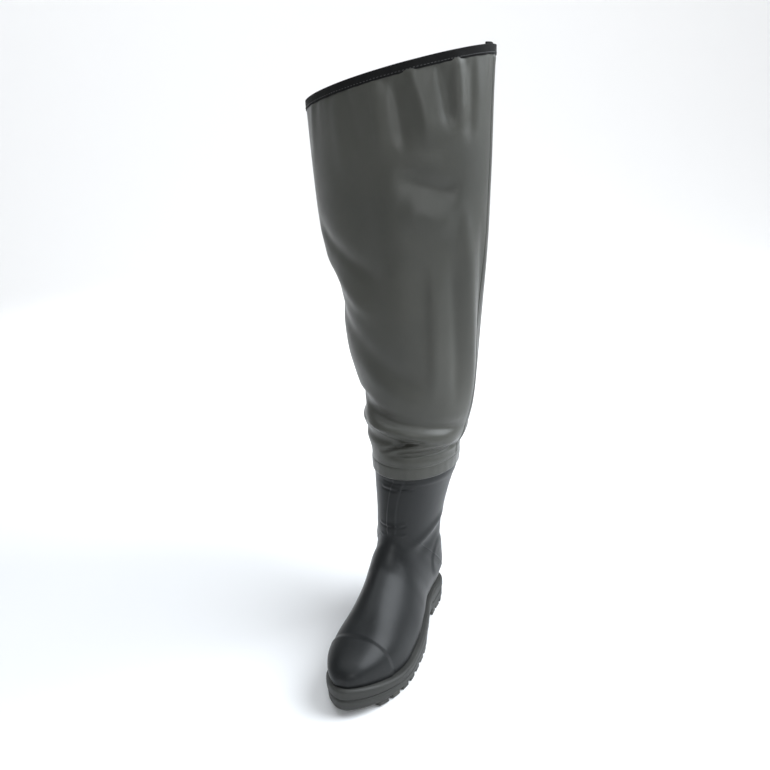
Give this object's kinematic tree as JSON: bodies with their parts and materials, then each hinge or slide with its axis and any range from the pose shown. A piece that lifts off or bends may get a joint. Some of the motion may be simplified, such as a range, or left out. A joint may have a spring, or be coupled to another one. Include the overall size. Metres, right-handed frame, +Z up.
{
  "type": "hip wader",
  "caption": "Thigh-high wader for the left leg: moulded rubber boot with a lugged sole and a tall coated-cloth leg with a slanted bound rim.",
  "frame": {"origin": "centre of the ground face of the sole's round heel pad", "axes": "toe along -Y, lateral side along +X, +Z up the leg"},
  "size_m": [0.2589, 0.3785, 0.7971],
  "materials": {
    "sole_rubber": "matt moulded rubber, faintly olive",
    "boot_rubber": "satin moulded rubber, green-black",
    "insole_felt": "grey felt",
    "coated_cloth": "satin olive-grey coating on fine nylon weave",
    "black_tape": "black ribbed tape"
  },
  "bodies": {
    "root": {"outsole": "sole_rubber", "boot_upper": "boot_rubber", "insole": "insole_felt", "leg": "coated_cloth", "hem_band": "coated_cloth", "inner_seam": "coated_cloth", "outer_seam": "coated_cloth", "top_binding": "black_tape", "belt_tab": "black_tape"}
  },
  "joints": []
}
